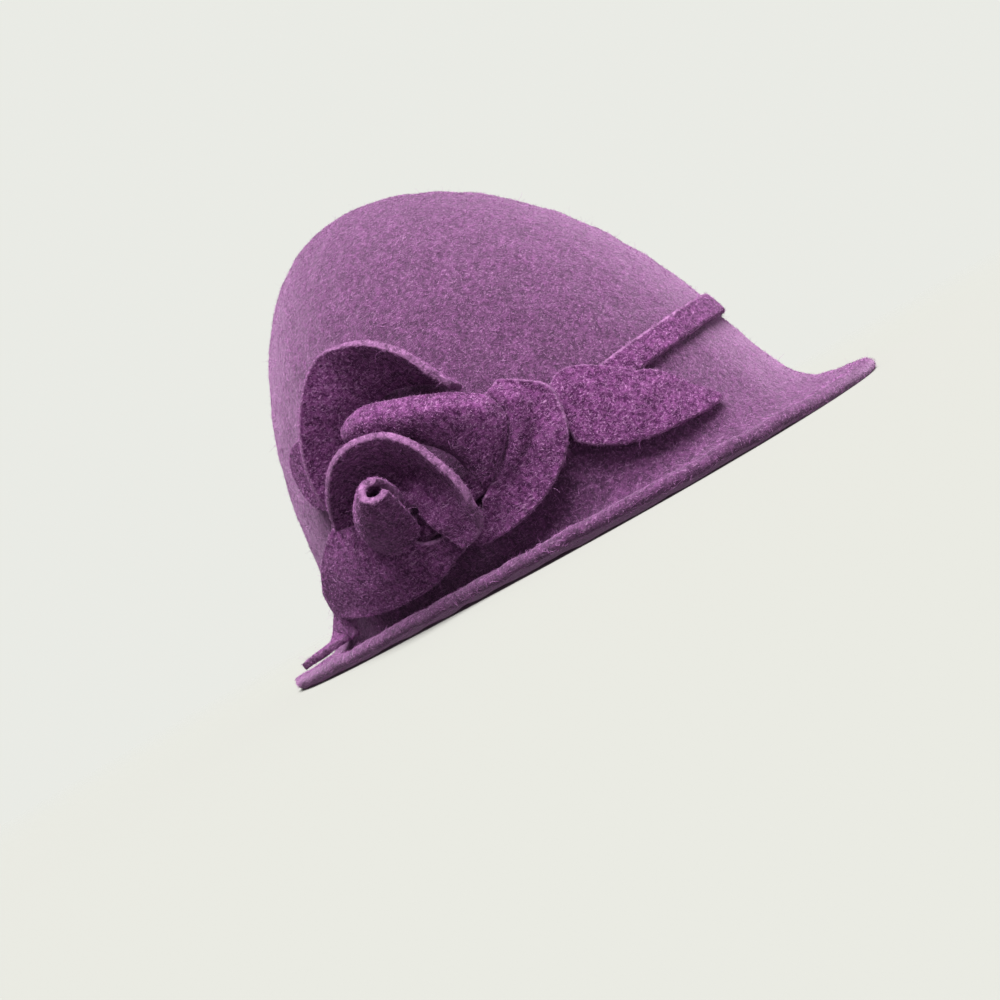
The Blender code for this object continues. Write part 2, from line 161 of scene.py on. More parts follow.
# Leaves, a row for each place from root to tip: the two edges as (phi in degrees, level), how far the
# edges stand off the hat and how much the middle bulges, both in mm
#         upper edge      lower edge     off    bulge
FRONT_LEAF = (
    ((222.5, 0.10), (221.5, -0.14), 5.9, 0.0),
    ((226, 0.125), (224.5, -0.26), 5.9, 0.5),
    ((230, 0.115), (229, -0.37), 5.9, 1.1),
    ((235, 0.06), (234.5, -0.46), 5.9, 1.1),
    ((241.5, -0.05), (241, -0.50), 5.4, 0.8),
    ((247.5, -0.30), (247, -0.51), 3.2, 0.4),
    ((251.5, -0.46), (251, -0.50), 2.3, 0.0),
)
BACK_LEAF = (
    ((137, 0.10), (141.5, -0.02), 5.6, 0.0),
    ((133.5, 0.04), (142, -0.32), 5.9, 0.9),
    ((130.5, -0.22), (141, -0.80), 5.6, 1.2),
    ((128, -0.75), (138.5, -1.30), 5.2, 1.2),
    ((126.2, -1.30), (133.5, -1.67), 4.0, 0.6),
    ((125.5, -1.72), (129, -1.87), 3.2, 0.2),
    ((125, -1.93), (126, -1.97), 2.6, 0.0),
)

BUD_FOOT = (-6.5, -4.7, 12.1)
BUD_TIP = (12.0, 5.0, 34.8)
BUD_FOOT_RADIUS = 14.0
BUD_TIP_RADIUS = 4.2
BUD_TURNS = 1.02
BUD_FOOT_PITCH = 4.5
BUD_TIP_PITCH = 3.0
BUD_START = math.radians(-38)
# How many fewer turns the tip has than the foot
BUD_TIP_CUT = 0.26

# Each sheet's width and length in mm when cut, and the share of that rectangle that its outline fills
CUT_TO = {
    "band": (10, 603, 1.0),
    "inner_petal": (38, 126, 0.47),
    "middle_petal": (34, 88, 0.57),
    "front_petal": (30, 94, 0.48),
    "upper_petal": (28, 123, 0.60),
    "lower_petal": (60, 85, 0.39),
    "back_petal": (24, 46, 0.53),
    "front_leaf": (32, 70, 0.58),
    "back_leaf": (22, 55, 0.53),
    "bud": (41, 75, 0.46),
}

# The camera: degrees round from the front, up, and rolled, then mm
CAMERA_AZIMUTH, CAMERA_ELEVATION, CAMERA_ROLL = -59.0, -0.5, 30.0
CAMERA_DISTANCE, CAMERA_SIDE, CAMERA_UP = 515.5, -8.9, 48.2
CAMERA_LENS = 43.06
LOOKED_AT = Vector((5.55 * MM, -0.9 * MM, 75 * MM))

# Points of the fine hood and band round the head, and the hood's rows from the top to the edge
HAT_STEPS_ROUND = 390
BAND_STEPS_ROUND = 400
CROWN_ROWS, BRIM_ROWS, HEM_ROWS = 70, 36, 12
# How much thinner the band is at its top edge, where it is pulled tight
BAND_TAPER = 0.35
# How far the band's cut edges reach from its top and bottom
BAND_CUT_EDGE = 0.9 * MM

# The hood's rings that carry fuzz, from the top to under the hem, and where its crown's fuzz ends
FUZZY_RINGS = (1, 136)
CROWN_FUZZ_ABOVE = 52 * MM
CROWN_FIBRES, BRIM_FIBRES, BAND_FIBRES, ROSE_FIBRES = 65000, 46000, 8000, 62000
CROWN_HAIRS, BRIM_HAIRS, ROSE_HAIRS = 300, 360, 900

# Colours of the felt, from the depths between its fibres to their bright ends
FELT_DARK, FELT_MIDDLE, FELT_LIGHT = (0.054, 0.008, 0.054), (0.205, 0.057, 0.199), (0.48, 0.255, 0.465)
# The loose fibres' colours, paler than the felt they come from: painted highlight for the light they catch
FIBRE_DARK, FIBRE_LIGHT = (0.23, 0.050, 0.23), (0.58, 0.28, 0.57)
PETAL_SHEEN, HOOD_SHEEN = 0.14, 0.60
# How much paler the cut edges of the petals, leaves, bud and band are painted: a painted highlight
PETAL_RIM_HIGHLIGHT = 0.40
# How much darker the hood's felt is painted than the petals' same felt: painted shade for the stronger
# light on it
HOOD_PAINTED_SHADE = 0.61
# Layers of noise in the felt: its turn in radians, its stretch, how fine it is and its octaves
FELT_NOISE = {
    "tangle": ((0.3, 0.5, 0.2), (1, 1, 1), 500, 4),
    "strands_a": ((0.4, 0.9, 0.3), (0.35, 2.2, 1.6), 700, 3),
    "strands_b": ((1.3, 0.2, 1.2), (1.8, 0.35, 2.0), 700, 3),
    "streaks": ((0.5, 0.3, 0.7), (0.45, 1.7, 1.3), 210, 2),
    "patches": ((0, 0, 0), (1, 1, 1), 95, 2),
}

# The wall's colour, the surroundings' light on the hat beside how bright they look, and the floor's shade
PALE = (0.82, 0.83, 0.785)
SURROUND = 0.31
FLOOR_SHARE = 0.452
# Metres from the hat's middle: the floor's edge, and where it starts and ends fading away
FLOOR_RADIUS = 1.6
FLOOR_FADE = (0.35, 1.1)
LAMP_COLOUR = (1.0, 0.99, 0.975)
# name, direction as shares of the camera's right, up and back, strength, and degrees across
LAMPS = (
    ("key_light", -0.42, 1.0, 0.55, 7.0, 44),
    ("side_light", 0.6, 0.0, 0.9, 0.95, 60),
)


def smooth_between(stations, values, at):
    """Values at the given places, by cubic pieces through the table's rows."""
    stations, values, at = (np.asarray(a, float) for a in (stations, values, at))
    if stations[0] > stations[-1]:
        stations, values = stations[::-1], values[::-1]
    slopes = np.gradient(values, stations, axis=0)
    k = np.clip(np.searchsorted(stations, at) - 1, 0, len(stations) - 2)
    width = stations[k + 1] - stations[k]
    s = (at - stations[k]) / width
    shape = s.shape + (1,) * (values.ndim - 1)
    s, width = s.reshape(shape), width.reshape(shape)
    a, b = values[k], values[k + 1]
    da, db = slopes[k] * width, slopes[k + 1] * width
    return (
        a * (1 + 2 * s) * (1 - s) ** 2
        + b * s * s * (3 - 2 * s)
        + da * s * (1 - s) ** 2
        - db * s * s * (1 - s)
    )


def round_the_hat(sides, phi):
    """A size given at the left, back, right and front, changing smoothly between them."""
    left, back, right, front = sides
    return (
        (left + back + right + front) / 4
        + (left - right) / 2 * np.cos(phi)
        + (back - front) / 2 * np.sin(phi)
        + (left + right - back - front) / 4 * np.cos(2 * phi)
    )


def hat_sections(phi):
    """Radius and height of the crease, the hem's inner line and the edge, and the hem's slope."""
    crease_r = 1 / np.hypot(np.cos(phi) / CROWN_HALF_WIDTH, np.sin(phi) / CROWN_HALF_LENGTH)
    crease_z = round_the_hat(CREASE_HEIGHT, phi) * MM
    edge_r = round_the_hat(BRIM_REACH, phi) * MM
    slope = np.radians(round_the_hat(HEM_SLOPE, phi))
    lift = RIGHT_SIDE_LIFT * np.clip((-np.cos(phi) - 0.3) / 0.7, 0, 1)
    half = HEM_THICK / 2
    middle_low = half + HEM_WIDTH * np.maximum(0, -np.sin(slope))
    line_z = middle_low + half * np.cos(slope) + lift - PRESSED
    line_r = edge_r - HEM_WIDTH * np.cos(slope)
    edge_z = line_z + HEM_WIDTH * np.sin(slope)
    return crease_r, crease_z, line_r, line_z, edge_r, edge_z, slope


def hat_point(phi, level):
    """Point on the outer face of the hat."""
    phi, level = np.broadcast_arrays(np.asarray(phi, float), np.asarray(level, float))
    crease_r, crease_z, line_r, line_z, edge_r, edge_z, slope = hat_sections(phi)
    up = np.clip(level, 0, 1)
    pointed = CROWN_POINTED + CROWN_FULLER_SIDES * np.cos(phi) ** 4
    crown_r = crease_r * np.maximum(1 - up**pointed, 0) ** (1 / CROWN_ROUND)
    crown_z = crease_z * (1 - up) + HAT_HEIGHT * up
    out = np.clip(-level, 0, 1)
    pull = np.hypot(line_r - crease_r, line_z - crease_z) / 3
    start = np.arctan2(line_z - crease_z, line_r - crease_r) - BRIM_FLARE
    r_path = (crease_r, crease_r + pull * np.cos(start), line_r - pull * np.cos(slope), line_r)
    z_path = (crease_z, crease_z + pull * np.sin(start), line_z - pull * np.sin(slope), line_z)
    weights = ((1 - out) ** 3, 3 * out * (1 - out) ** 2, 3 * out**2 * (1 - out), out**3)
    brim_r = sum(w * r for w, r in zip(weights, r_path))
    brim_z = sum(w * z for w, z in zip(weights, z_path))
    hem = np.clip(-level - 1, 0, 1)
    r = np.where(level >= 0, crown_r, np.where(level >= -1, brim_r, line_r + hem * (edge_r - line_r)))
    z = np.where(level >= 0, crown_z, np.where(level >= -1, brim_z, line_z + hem * (edge_z - line_z)))
    x = r * np.cos(phi) - CROWN_LEAN_RIGHT * up
    y = r * np.sin(phi) + CROWN_LEAN_BACK * up
    return np.stack([x, y, z], -1)


def unit(vectors):
    return vectors / np.maximum(np.linalg.norm(vectors, axis=-1, keepdims=True), 1e-12)


def hat_normal(phi, level, step=1e-3):
    """Outward direction of the hat's outer face."""
    round_way = hat_point(phi + step, level) - hat_point(phi - step, level)
    up_way = hat_point(phi, level + step) - hat_point(phi, level - step)
    return unit(np.cross(round_way, up_way))


def right_side_x(y, z):
    """x of the hat's outer face on the rose's side, at a place seen straight from that side."""
    low, high = np.full_like(y, math.pi / 2), np.full_like(y, 3 * math.pi / 2)
    for _ in range(22):
        phi = (low + high) / 2
        down, up = np.full_like(y, -0.85), np.full_like(y, 0.999)
        for _ in range(18):
            level = (down + up) / 2
            below = hat_point(phi, level)[..., 2] < z
            down, up = np.where(below, level, down), np.where(below, up, level)
        further_back = hat_point(phi, level)[..., 1] > y
        low, high = np.where(further_back, phi, low), np.where(further_back, high, phi)
    return hat_point(phi, level)[..., 0]


def rose_point(forward, above, lift):
    """Point near the rose: mm forward of and above its origin on the hat's side, and mm off the hat."""
    y, z = -forward * MM, ROSE_HEIGHT + above * MM
    return np.stack([right_side_x(y, z) - lift * MM, y, z], -1)


def waves(points, length, seed):
    """Smooth unevenness about zero, with bumps about the given length apart."""
    rng = np.random.default_rng(seed)
    total = np.zeros(points.shape[:-1])
    for _ in range(14):
        way = rng.normal(size=3)
        way *= 2 * math.pi / (length * rng.uniform(0.7, 1.5) * np.linalg.norm(way))
        total += np.sin(points @ way + rng.uniform(0, 2 * math.pi))
    return total / 4


def grid_faces(rows, columns, flip=False, closed=False):
    i, j = np.meshgrid(np.arange(rows if closed else rows - 1), np.arange(columns - 1), indexing="ij")
    a, b = i * columns + j, ((i + 1) % rows) * columns + j
    quads = np.stack([a, b, b + 1, a + 1], -1).reshape(-1, 4)
    return quads[:, ::-1] if flip else quads


def new_piece(name, points, faces, material, node=None, cut=None):
    """A piece from points in the part's drawing frame. cut is each point's share of cut edge."""
    mesh = bpy.data.meshes.new(name)
    points = points - np.array([*BASE_MIDDLE, 0])
    mesh.from_pydata(points.tolist(), [], faces if isinstance(faces, list) else faces.tolist())
    mesh.update()
    if cut is not None:
        share = mesh.attributes.new("cut", "FLOAT", "POINT")
        share.data.foreach_set("value", np.asarray(cut, np.float32))
    mesh.shade_smooth()
    mesh.materials.append(material)
    obj = bpy.data.objects.new(name, mesh)
    bpy.context.scene.collection.objects.link(obj)
    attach(obj, "root")
    if node:
        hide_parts(node)
    return obj


def declare_sheet(name):
    """Reads the sheet's cut size from its row of CUT_TO, and does nothing further with it."""
    width, length, filled = CUT_TO[name]
    width, length = width * MM, length * MM


# Materials


def mixed(nodes, links, factor, low, high):
    node = nodes.new("ShaderNodeMix")
    node.data_type = "RGBA"
    links.new(factor, node.inputs["Factor"])
    for socket, colour in ((node.inputs["A"], low), (node.inputs["B"], high)):
        if isinstance(colour, tuple):
            socket.default_value = (*colour, 1)
        else:
            links.new(colour, socket)
    return node.outputs["Result"]


def stretched_noise(nodes, links, place, turn, stretch, scale, detail):
    mapping = nodes.new("ShaderNodeMapping")
    mapping.inputs["Rotation"].default_value = turn
    mapping.inputs["Scale"].default_value = stretch
    links.new(place, mapping.inputs["Vector"])
    noise = nodes.new("ShaderNodeTexNoise")
    noise.inputs["Scale"].default_value = scale
    noise.inputs["Detail"].default_value = detail
    noise.inputs["Roughness"].default_value = 0.65
    links.new(mapping.outputs["Vector"], noise.inputs["Vector"])
    return noise.outputs["Fac"]


def ranged(nodes, links, value, low, high, to_low=0.0, to_high=1.0):
    node = nodes.new("ShaderNodeMapRange")
    node.inputs["From Min"].default_value = low
    node.inputs["From Max"].default_value = high
    node.inputs["To Min"].default_value = to_low
    node.inputs["To Max"].default_value = to_high
    links.new(value, node.inputs["Value"])
    return node.outputs["Result"]


def maths(nodes, links, kind, a, b):
    node = nodes.new("ShaderNodeMath")
    node.operation = kind
    for socket, value in zip(node.inputs, (a, b)):
        if isinstance(value, (int, float)):
            socket.default_value = value
        else:
            links.new(value, socket)
    return node.outputs["Value"]


def felt_material(name, dark, middle, light, sheen, rim=0.0):
    """Wool felt: mottled by its tangled fibres, each a little lighter or darker than the next.

    rim is how much paler its cut edges are painted: a painted highlight for the light they catch.
    """
    material = bpy.data.materials.new(name)
    material.use_nodes = True
    nodes, links = material.node_tree.nodes, material.node_tree.links
    shader = nodes["Principled BSDF"]
    place = nodes.new("ShaderNodeTexCoord").outputs["Object"]
    layers = {name: stretched_noise(nodes, links, place, *row) for name, row in FELT_NOISE.items()}
    tangle, streaks = layers["tangle"], layers["streaks"]
    strands = maths(nodes, links, "MAXIMUM", layers["strands_a"], layers["strands_b"])
    depth = maths(nodes, links, "ADD", tangle, maths(nodes, links, "MULTIPLY", strands, 0.8))
    share = ranged(nodes, links, depth, 0.80, 1.08)
    base = mixed(nodes, links, share, dark, middle)
    bright = ranged(nodes, links, strands, 0.60, 0.72, 0.0, 0.95)
    colour = mixed(nodes, links, bright, base, light)
    # Cut edges painted paler with ragged fibres: a painted highlight where the edges catch light
    if rim:
        attribute = nodes.new("ShaderNodeAttribute")
        attribute.attribute_name = "cut"
        ragged = ranged(nodes, links, tangle, 0.36, 0.60, 0.35 * rim, rim)
        rim_highlight_mask = maths(nodes, links, "MULTIPLY", attribute.outputs["Fac"], ragged)
        colour = mixed(nodes, links, rim_highlight_mask, colour, light)
    tint = maths(
        nodes, links, "MULTIPLY",
        ranged(nodes, links, layers["patches"], 0.35, 0.65, 0.87, 1.10),
        ranged(nodes, links, streaks, 0.35, 0.65, 0.78, 1.16),
    )
    shade = nodes.new("ShaderNodeVectorMath")
    shade.operation = "SCALE"
    links.new(colour, shade.inputs[0])
    links.new(tint, shade.inputs["Scale"])
    links.new(shade.outputs["Vector"], shader.inputs["Base Color"])
    shader.inputs["Roughness"].default_value = 0.95
    shader.inputs["Specular IOR Level"].default_value = 0.12
    shader.inputs["Sheen Weight"].default_value = sheen
    shader.inputs["Sheen Roughness"].default_value = 0.6
    shader.inputs["Sheen Tint"].default_value = (1.0, 0.60, 1.0, 1)
    bump = nodes.new("ShaderNodeBump")
    bump.inputs["Strength"].default_value = 0.9
    bump.inputs["Distance"].default_value = 0.7 * MM
    height = maths(nodes, links, "ADD", depth, maths(nodes, links, "MULTIPLY", streaks, 0.35))
    links.new(height, bump.inputs["Height"])
    links.new(bump.outputs["Normal"], shader.inputs["Normal"])
    return material


def fuzz_material(name, low, high):
    material = bpy.data.materials.new(name)
    material.use_nodes = True
    nodes, links = material.node_tree.nodes, material.node_tree.links
    shader = nodes["Principled BSDF"]
    place = nodes.new("ShaderNodeTexCoord").outputs["Object"]
    vary = stretched_noise(nodes, links, place, (0, 0, 0), (1, 1, 1), 1500, 1)
    share = ranged(nodes, links, vary, 0.35, 0.65)
    links.new(mixed(nodes, links, share, low, high), shader.inputs["Base Color"])
    shader.inputs["Roughness"].default_value = 0.8
    shader.inputs["Specular IOR Level"].default_value = 0.25
    return material


# Felt shapes


def fine_hat(steps_round):
    """The hood as rings of points from the top, over the edge and back inside, and its top point."""
    phi = np.linspace(0, 2 * math.pi, steps_round, endpoint=False)[:, None]
    crown = np.sin(np.linspace(math.pi / 2, 0, CROWN_ROWS + 1))[1:]
    brim = -np.linspace(0, 1, BRIM_ROWS + 1)[1:]
    hem = -1 - np.linspace(0, 1, HEM_ROWS + 1)[1:]
    level = np.concatenate([crown, brim, hem])[None, :]
    outer = hat_point(phi, level)
    crease, line = len(crown) - 1, len(crown) + len(brim) - 1
    for _ in range(10):
        near = slice(crease - 3, crease + 5)
        outer[:, near] = outer[:, near] / 2 + (
            outer[:, crease - 4 : crease + 4] + outer[:, crease - 2 : crease + 6]
        ) / 4
    round_way = np.roll(outer, -1, 0) - np.roll(outer, 1, 0)
    normal = unit(np.cross(round_way, -np.gradient(outer, axis=1)))
    lumps = waves(outer, 16 * MM, 3) * 0.30 * MM + waves(outer, 5 * MM, 4) * 0.10 * MM
    outer = outer + normal * lumps[..., None]
    at_edge = hat_normal(phi, np.array([[-1.5]]))
    outward = np.stack([np.cos(phi), np.sin(phi), 0 * phi], -1)
    outward = unit(outward - at_edge * (outward * at_edge).sum(-1, keepdims=True))
    half = HEM_THICK / 2
    rounding = np.linspace(0, math.pi, 14)[1:-1][None, :, None]
    edge = outer[:, -1:] - at_edge * half + half * (at_edge * np.cos(rounding) + outward * np.sin(rounding))
    under_hem = outer[:, line:] - at_edge * HEM_THICK
    inside = outer[:, :line] - normal[:, :line] * FELT
    steps = []
    for share, drop in ((0.15, 0.2), (0.5, 0.6), (0.85, 1.0), (1.0, 1.4)):
        deep = HEM_THICK * (1 - share) + FELT * share
        steps.append(outer[:, line : line + 1] - at_edge * deep - outward * drop * MM)
    rings = np.concatenate([outer, edge, under_hem[:, ::-1], *steps, inside[:, ::-1]], 1)
    rings[..., 2] = np.maximum(rings[..., 2], 0)
    top = np.array([-CROWN_LEAN_RIGHT, CROWN_LEAN_BACK, HAT_HEIGHT])
    return rings, top


def places(length, count):
    """Places from 0 to 1 along a sheet of that length in mm, close together at its cut edges."""
    near = np.array([0, 0.06, 0.2, 0.45, 0.8, 1.2]) / length
    middle = np.linspace(1.9 / length, 1 - 1.9 / length, count)
    return np.concatenate([near, middle, 1 - near[::-1]])


def along_lengths(grid, axis):
    step = np.linalg.norm(np.diff(grid, axis=axis), axis=-1)
    pad = [(0, 0), (0, 0)]
    pad[axis] = (1, 0)
    return np.cumsum(np.pad(step, pad), axis=axis)


def felt_sheet(grid, seed, ruffle=0.18):
    """Both faces of a sheet of felt about its middle surface, with softly rounded cut edges."""
    normal = unit(np.cross(np.gradient(grid, axis=0), np.gradient(grid, axis=1)))
    distances = []
    for axis in (0, 1):
        run = along_lengths(grid, axis)
        total = run[-1:, :] if axis == 0 else run[:, -1:]
        distances += [run, total - run]
    to_edge = np.minimum.reduce(distances)
    share = np.clip(to_edge / EDGE_ROUNDING, 0, 1)
    half = FELT / 2 * (1 - (1 - share) ** 3) ** (1 / 3)
    bend = waves(grid, 14 * MM, seed) * ruffle * MM
    middle = grid + normal * bend[..., None]
    faces_apart = half[..., None] * normal
    rough = waves(grid, 3.5 * MM, seed + 50) * 0.05 * MM
    over = middle + faces_apart + normal * rough[..., None]
    under = middle - faces_apart + normal * rough[..., None]
    # Each point's share of cut edge, where the petal felt paints a highlight
    cut = np.clip((0.8 - to_edge / MM) / 0.5, 0, 1)
    return over, under, cut


def closed_sheet(over, under, cut):
    """Points and faces of a sheet whose two sides meet along its border, and the points' cut shares."""
    rows, columns = over.shape[:2]
    count = rows * columns
    index = np.arange(count).reshape(rows, columns)
    inner = np.zeros((rows, columns), bool)
    inner[1:-1, 1:-1] = True
    below = index.copy()
    below[inner] = count + np.arange(inner.sum())
    points = np.concatenate([over.reshape(-1, 3), under[inner]])
    faces = grid_faces(rows, columns)
    lower = below.reshape(-1)[faces[:, ::-1]]
    return points, np.concatenate([faces, lower]), np.concatenate([cut.reshape(-1), cut[inner]])


def rib_grid(table, along, across):
    """Middle surface of a petal at places from 0 to 1 along its table and across its ribs."""
    turns = np.array([row[0] for row in table], float)
    shapes = [row[1:] for row in table]
    turn = turns[0] + (turns[-1] - turns[0]) * along
    ribs = smooth_between(turns, shapes, turn)
    curve = smooth_between(range(ribs.shape[1]), ribs.swapaxes(0, 1), across * (ribs.shape[1] - 1))
    reach, lift = curve[..., 0], curve[..., 1]
    angle = np.radians(turn)[None, :]
    forward = ROSE_CENTRE[0] + reach * np.cos(angle)
    above = ROSE_CENTRE[1] + reach * np.sin(angle)
    return rose_point(forward, above, lift)


def leaf_grid(table, along, across):
    """Middle surface of a leaf at places from 0 to 1 along it and across it."""
    columns = [[*row[0], *row[1], row[2], row[3]] for row in table]
    rows = smooth_between(range(len(table)), columns, along * (len(table) - 1))
    off, bulge = rows[:, 4:5] * MM, rows[:, 5:6] * MM
    edges = []
    for phi, level in ((rows[:, 0], rows[:, 1]), (rows[:, 2], rows[:, 3])):
        phi = np.radians(phi)
        edges.append((hat_point(phi, level) + hat_normal(phi, level) * off, hat_normal(phi, level)))
    s = across[:, None, None]
    middle = unit(edges[0][1] + edges[1][1])
    return edges[0][0] * (1 - s) + edges[1][0] * s + middle * 4 * s * (1 - s) * bulge


def bud_grid(along, across):
    """Middle surface of the rolled bud at places from 0 to 1 along its roll and from foot to tip."""
    wind = along[:, None] * (BUD_TURNS - BUD_TIP_CUT * across[None, :])
    rise = across[None, :]
    angle = BUD_START - 2 * math.pi * wind
    radius = BUD_FOOT_RADIUS * (1 - rise) + BUD_TIP_RADIUS * rise
    radius = radius - wind * (BUD_FOOT_PITCH * (1 - rise) + BUD_TIP_PITCH * rise)
    foot, tip = np.array(BUD_FOOT), np.array(BUD_TIP)
    forward = foot[0] + (tip[0] - foot[0]) * rise + radius * np.cos(angle)
    above = foot[1] + (tip[1] - foot[1]) * rise + radius * np.sin(angle)
    lean = (tip - foot) / (tip[2] - foot[2])
    tilt = lean[0] * np.cos(angle) + lean[1] * np.sin(angle)
    lift = foot[2] + (tip[2] - foot[2]) * rise - radius * tilt * rise
    y, z = -forward * MM, ROSE_HEIGHT + above * MM
    side = right_side_x(np.array([-foot[0] * MM]), np.array([ROSE_HEIGHT + foot[1] * MM]))[0]
    x = right_side_x(y, z) * (1 - rise) + side * rise - lift * MM
    return np.stack([x, y, z], -1)


def fine_band(steps_round):
    """The band as rings of points round its section, and which of them are on its cut edges."""
    phi = np.linspace(0, 2 * math.pi, steps_round, endpoint=False)[:, None]
    _, crease_z, *_ = hat_sections(phi)
    low, high = 0.6 * MM, 0.6 * MM + BAND_HEIGHT
    near, far, r = GAP, GAP + FELT, 1.2 * MM
    section = [(low, near)]
    for turn in np.linspace(math.pi, math.pi / 2, 5):
        section.append((low + r + r * math.cos(turn), far - r + r * math.sin(turn)))
    section += [(h, far) for h in np.linspace(low + r, high - r, 7)[1:-1]]
    for turn in np.linspace(math.pi / 2, 0, 5):
        section.append((high - r + r * math.cos(turn), far - r + r * math.sin(turn)))
    section.append((high, near))
    rings = []
    for height, off in section:
        off = near + (off - near) * (1 - BAND_TAPER * (height - low) / BAND_HEIGHT)
        level = height / (HAT_HEIGHT - crease_z)
        normal = hat_normal(phi, np.maximum(level, 0.01))
        point = hat_point(phi, level)
        uneven = waves(point, 18 * MM, 9) * 0.15 * MM
        rings.append(point + normal * (off + (uneven[..., None] if off > near else 0)))
    # Which points are cut edges, where the petal felt paints a highlight
    cut = []
    for height, off in section:
        top_edge = height > high - BAND_CUT_EDGE
        low_edge = height < low + BAND_CUT_EDGE and off < far - 0.3 * MM
        cut.append(float(top_edge or low_edge))
    return np.concatenate(rings, 1), cut


# Fuzz


def scattered(points, faces, count, rng):
    """Random places on the faces, with the faces' directions."""
    quads = points[faces]
    across = np.cross(quads[:, 2] - quads[:, 0], quads[:, 3] - quads[:, 1])
    area = np.linalg.norm(across, axis=-1)
    chosen = rng.choice(len(faces), count, p=area / area.sum())
    s, t = rng.random((2, count, 1))
    q = quads[chosen]
    place = (q[:, 0] * (1 - s) + q[:, 1] * s) * (1 - t) + (q[:, 3] * (1 - s) + q[:, 2] * s) * t
    return place, unit(across[chosen])


def fuzz(name, sources, material, seed, length=(0.8, 2.6), lying=0.72, width=0.10):
    """Short bent fibres as one mesh. sources holds (points, faces, how many fibres)."""
    rng = np.random.default_rng(seed)
    found = [scattered(points, faces, count, rng) for points, faces, count in sources]
    root = np.concatenate([f[0] for f in found])
    normal = np.concatenate([f[1] for f in found])
    count = len(root)
    along = unit(np.cross(normal, rng.normal(size=(count, 3))))
    aside = np.cross(normal, along)
    stands = rng.random(count) > lying
    angle = np.where(stands, rng.uniform(0.5, 1.35, count), rng.uniform(0.06, 0.3, count))[:, None]
    long = rng.uniform(*length, count)[:, None] * MM * np.where(stands, 0.62, 1.0)[:, None]
    curl = rng.normal(0, 0.35, (count, 1))
    way = along * np.cos(angle) + normal * np.sin(angle)
    late = angle * rng.uniform(0.1, 0.7, (count, 1))
    middle = root + way * long * 0.5 + aside * curl * long * 0.15
    tip = middle + (along * np.cos(late) + normal * np.sin(late)) * long * 0.5 + aside * curl * long * 0.5
    wide = unit(np.cross(way, normal * 0.6 + rng.normal(size=(count, 3)))) * width * MM / 2
    sunk = root - normal * 0.05 * MM
    points = np.stack([sunk - wide, sunk + wide, middle - wide * 0.85, middle + wide * 0.85, tip], 1)
    first = np.arange(count)[:, None] * 5
    quads = first + np.array([[0, 1, 3, 2]])
    ends = first + np.array([[2, 3, 4]])
    points = points.reshape(-1, 3)
    points[:, 2] = np.maximum(points[:, 2], 0)
    new_piece(name, points, quads.tolist() + ends.tolist(), material)


def stray_hairs(name, sources, material, seed, length=(2.5, 6.0), width=0.085, joints=7):
    """Long loose hairs that curl away from the felt, as one mesh."""
    rng = np.random.default_rng(seed)
    found = [scattered(points, faces, count, rng) for points, faces, count in sources]
    root = np.concatenate([f[0] for f in found])
    normal = np.concatenate([f[1] for f in found])
    count = len(root)
    sideways = unit(np.cross(normal, rng.normal(size=(count, 3))))
    way = unit(sideways + normal * rng.uniform(0.3, 1.2, (count, 1)))
    axis = unit(np.cross(way, normal) + 0.6 * rng.normal(size=(count, 3)))
    step = rng.uniform(*length, (count, 1)) * MM / joints
    turn = rng.uniform(0.12, 0.55, (count, 1))
    wide = unit(np.cross(way, rng.normal(size=(count, 3)))) * width * MM / 2
    place, rows = root - normal * 0.1 * MM, []
    for joint in range(joints + 1):
        thin = 1 - 0.6 * joint / joints
        rows.append(np.stack([place - wide * thin, place + wide * thin], 1))
        place = place + way * step
        way = unit(way + np.cross(axis, way) * turn)
    points = np.stack(rows, 1).reshape(-1, 3)
    points[:, 2] = np.maximum(points[:, 2], 0)
    first = (np.arange(count)[:, None] * (joints + 1) + np.arange(joints)[None, :]).reshape(-1, 1) * 2
    new_piece(name, points, first + np.array([[0, 1, 3, 2]]), material)


# The hat


def make_hood(material):
    """The crown and brim. Returns its points, and its outer faces on the crown and on the brim."""
    rings, top = fine_hat(HAT_STEPS_ROUND)
    rows, columns = rings.shape[:2]
    points = np.concatenate([rings.reshape(-1, 3), [top, top - (0, 0, FELT)]])
    faces = grid_faces(rows, columns, flip=True, closed=True)
    count = rows * columns
    i = np.arange(rows)
    a, b = i * columns, ((i + 1) % rows) * columns
    caps = np.stack([0 * i + count, a, b], -1).tolist()
    caps += np.stack([0 * i + count + 1, b + columns - 1, a + columns - 1], -1).tolist()
    new_piece("crown_and_brim", points, faces.tolist() + caps, material, "hat_body")
    ring_of_face = faces.min(1) % columns
    outer = faces[(ring_of_face > FUZZY_RINGS[0]) & (ring_of_face < FUZZY_RINGS[1])]
    high = points[outer].mean(1)[:, 2]
    return points, outer[high > CROWN_FUZZ_ABOVE], outer[high <= CROWN_FUZZ_ABOVE]


def make_band(material):
    """The band. Returns its points and its faces, less those that lie against the crown."""
    rings, cut = fine_band(BAND_STEPS_ROUND)
    rows, columns = rings.shape[:2]
    faces = grid_faces(rows, columns, closed=True)
    a = np.arange(rows) * columns
    b = np.roll(a, -1)
    back = np.stack([a + columns - 1, b + columns - 1, b, a], -1)
    points = rings.reshape(-1, 3)
    every = np.concatenate([faces, back])
    band = new_piece("felt_band", points, every, material, "band", np.tile(cut, rows))
    declare_sheet("band")
    return points, faces


def make_trim(name, grid, seed, material):
    """A petal, a leaf or the bud about its middle surface. Returns its points and faces."""
    points, faces, cut = closed_sheet(*felt_sheet(grid, seed))
    trim = new_piece("felt_" + name, points, faces, material, name, cut)
    declare_sheet(name)
    return points, faces


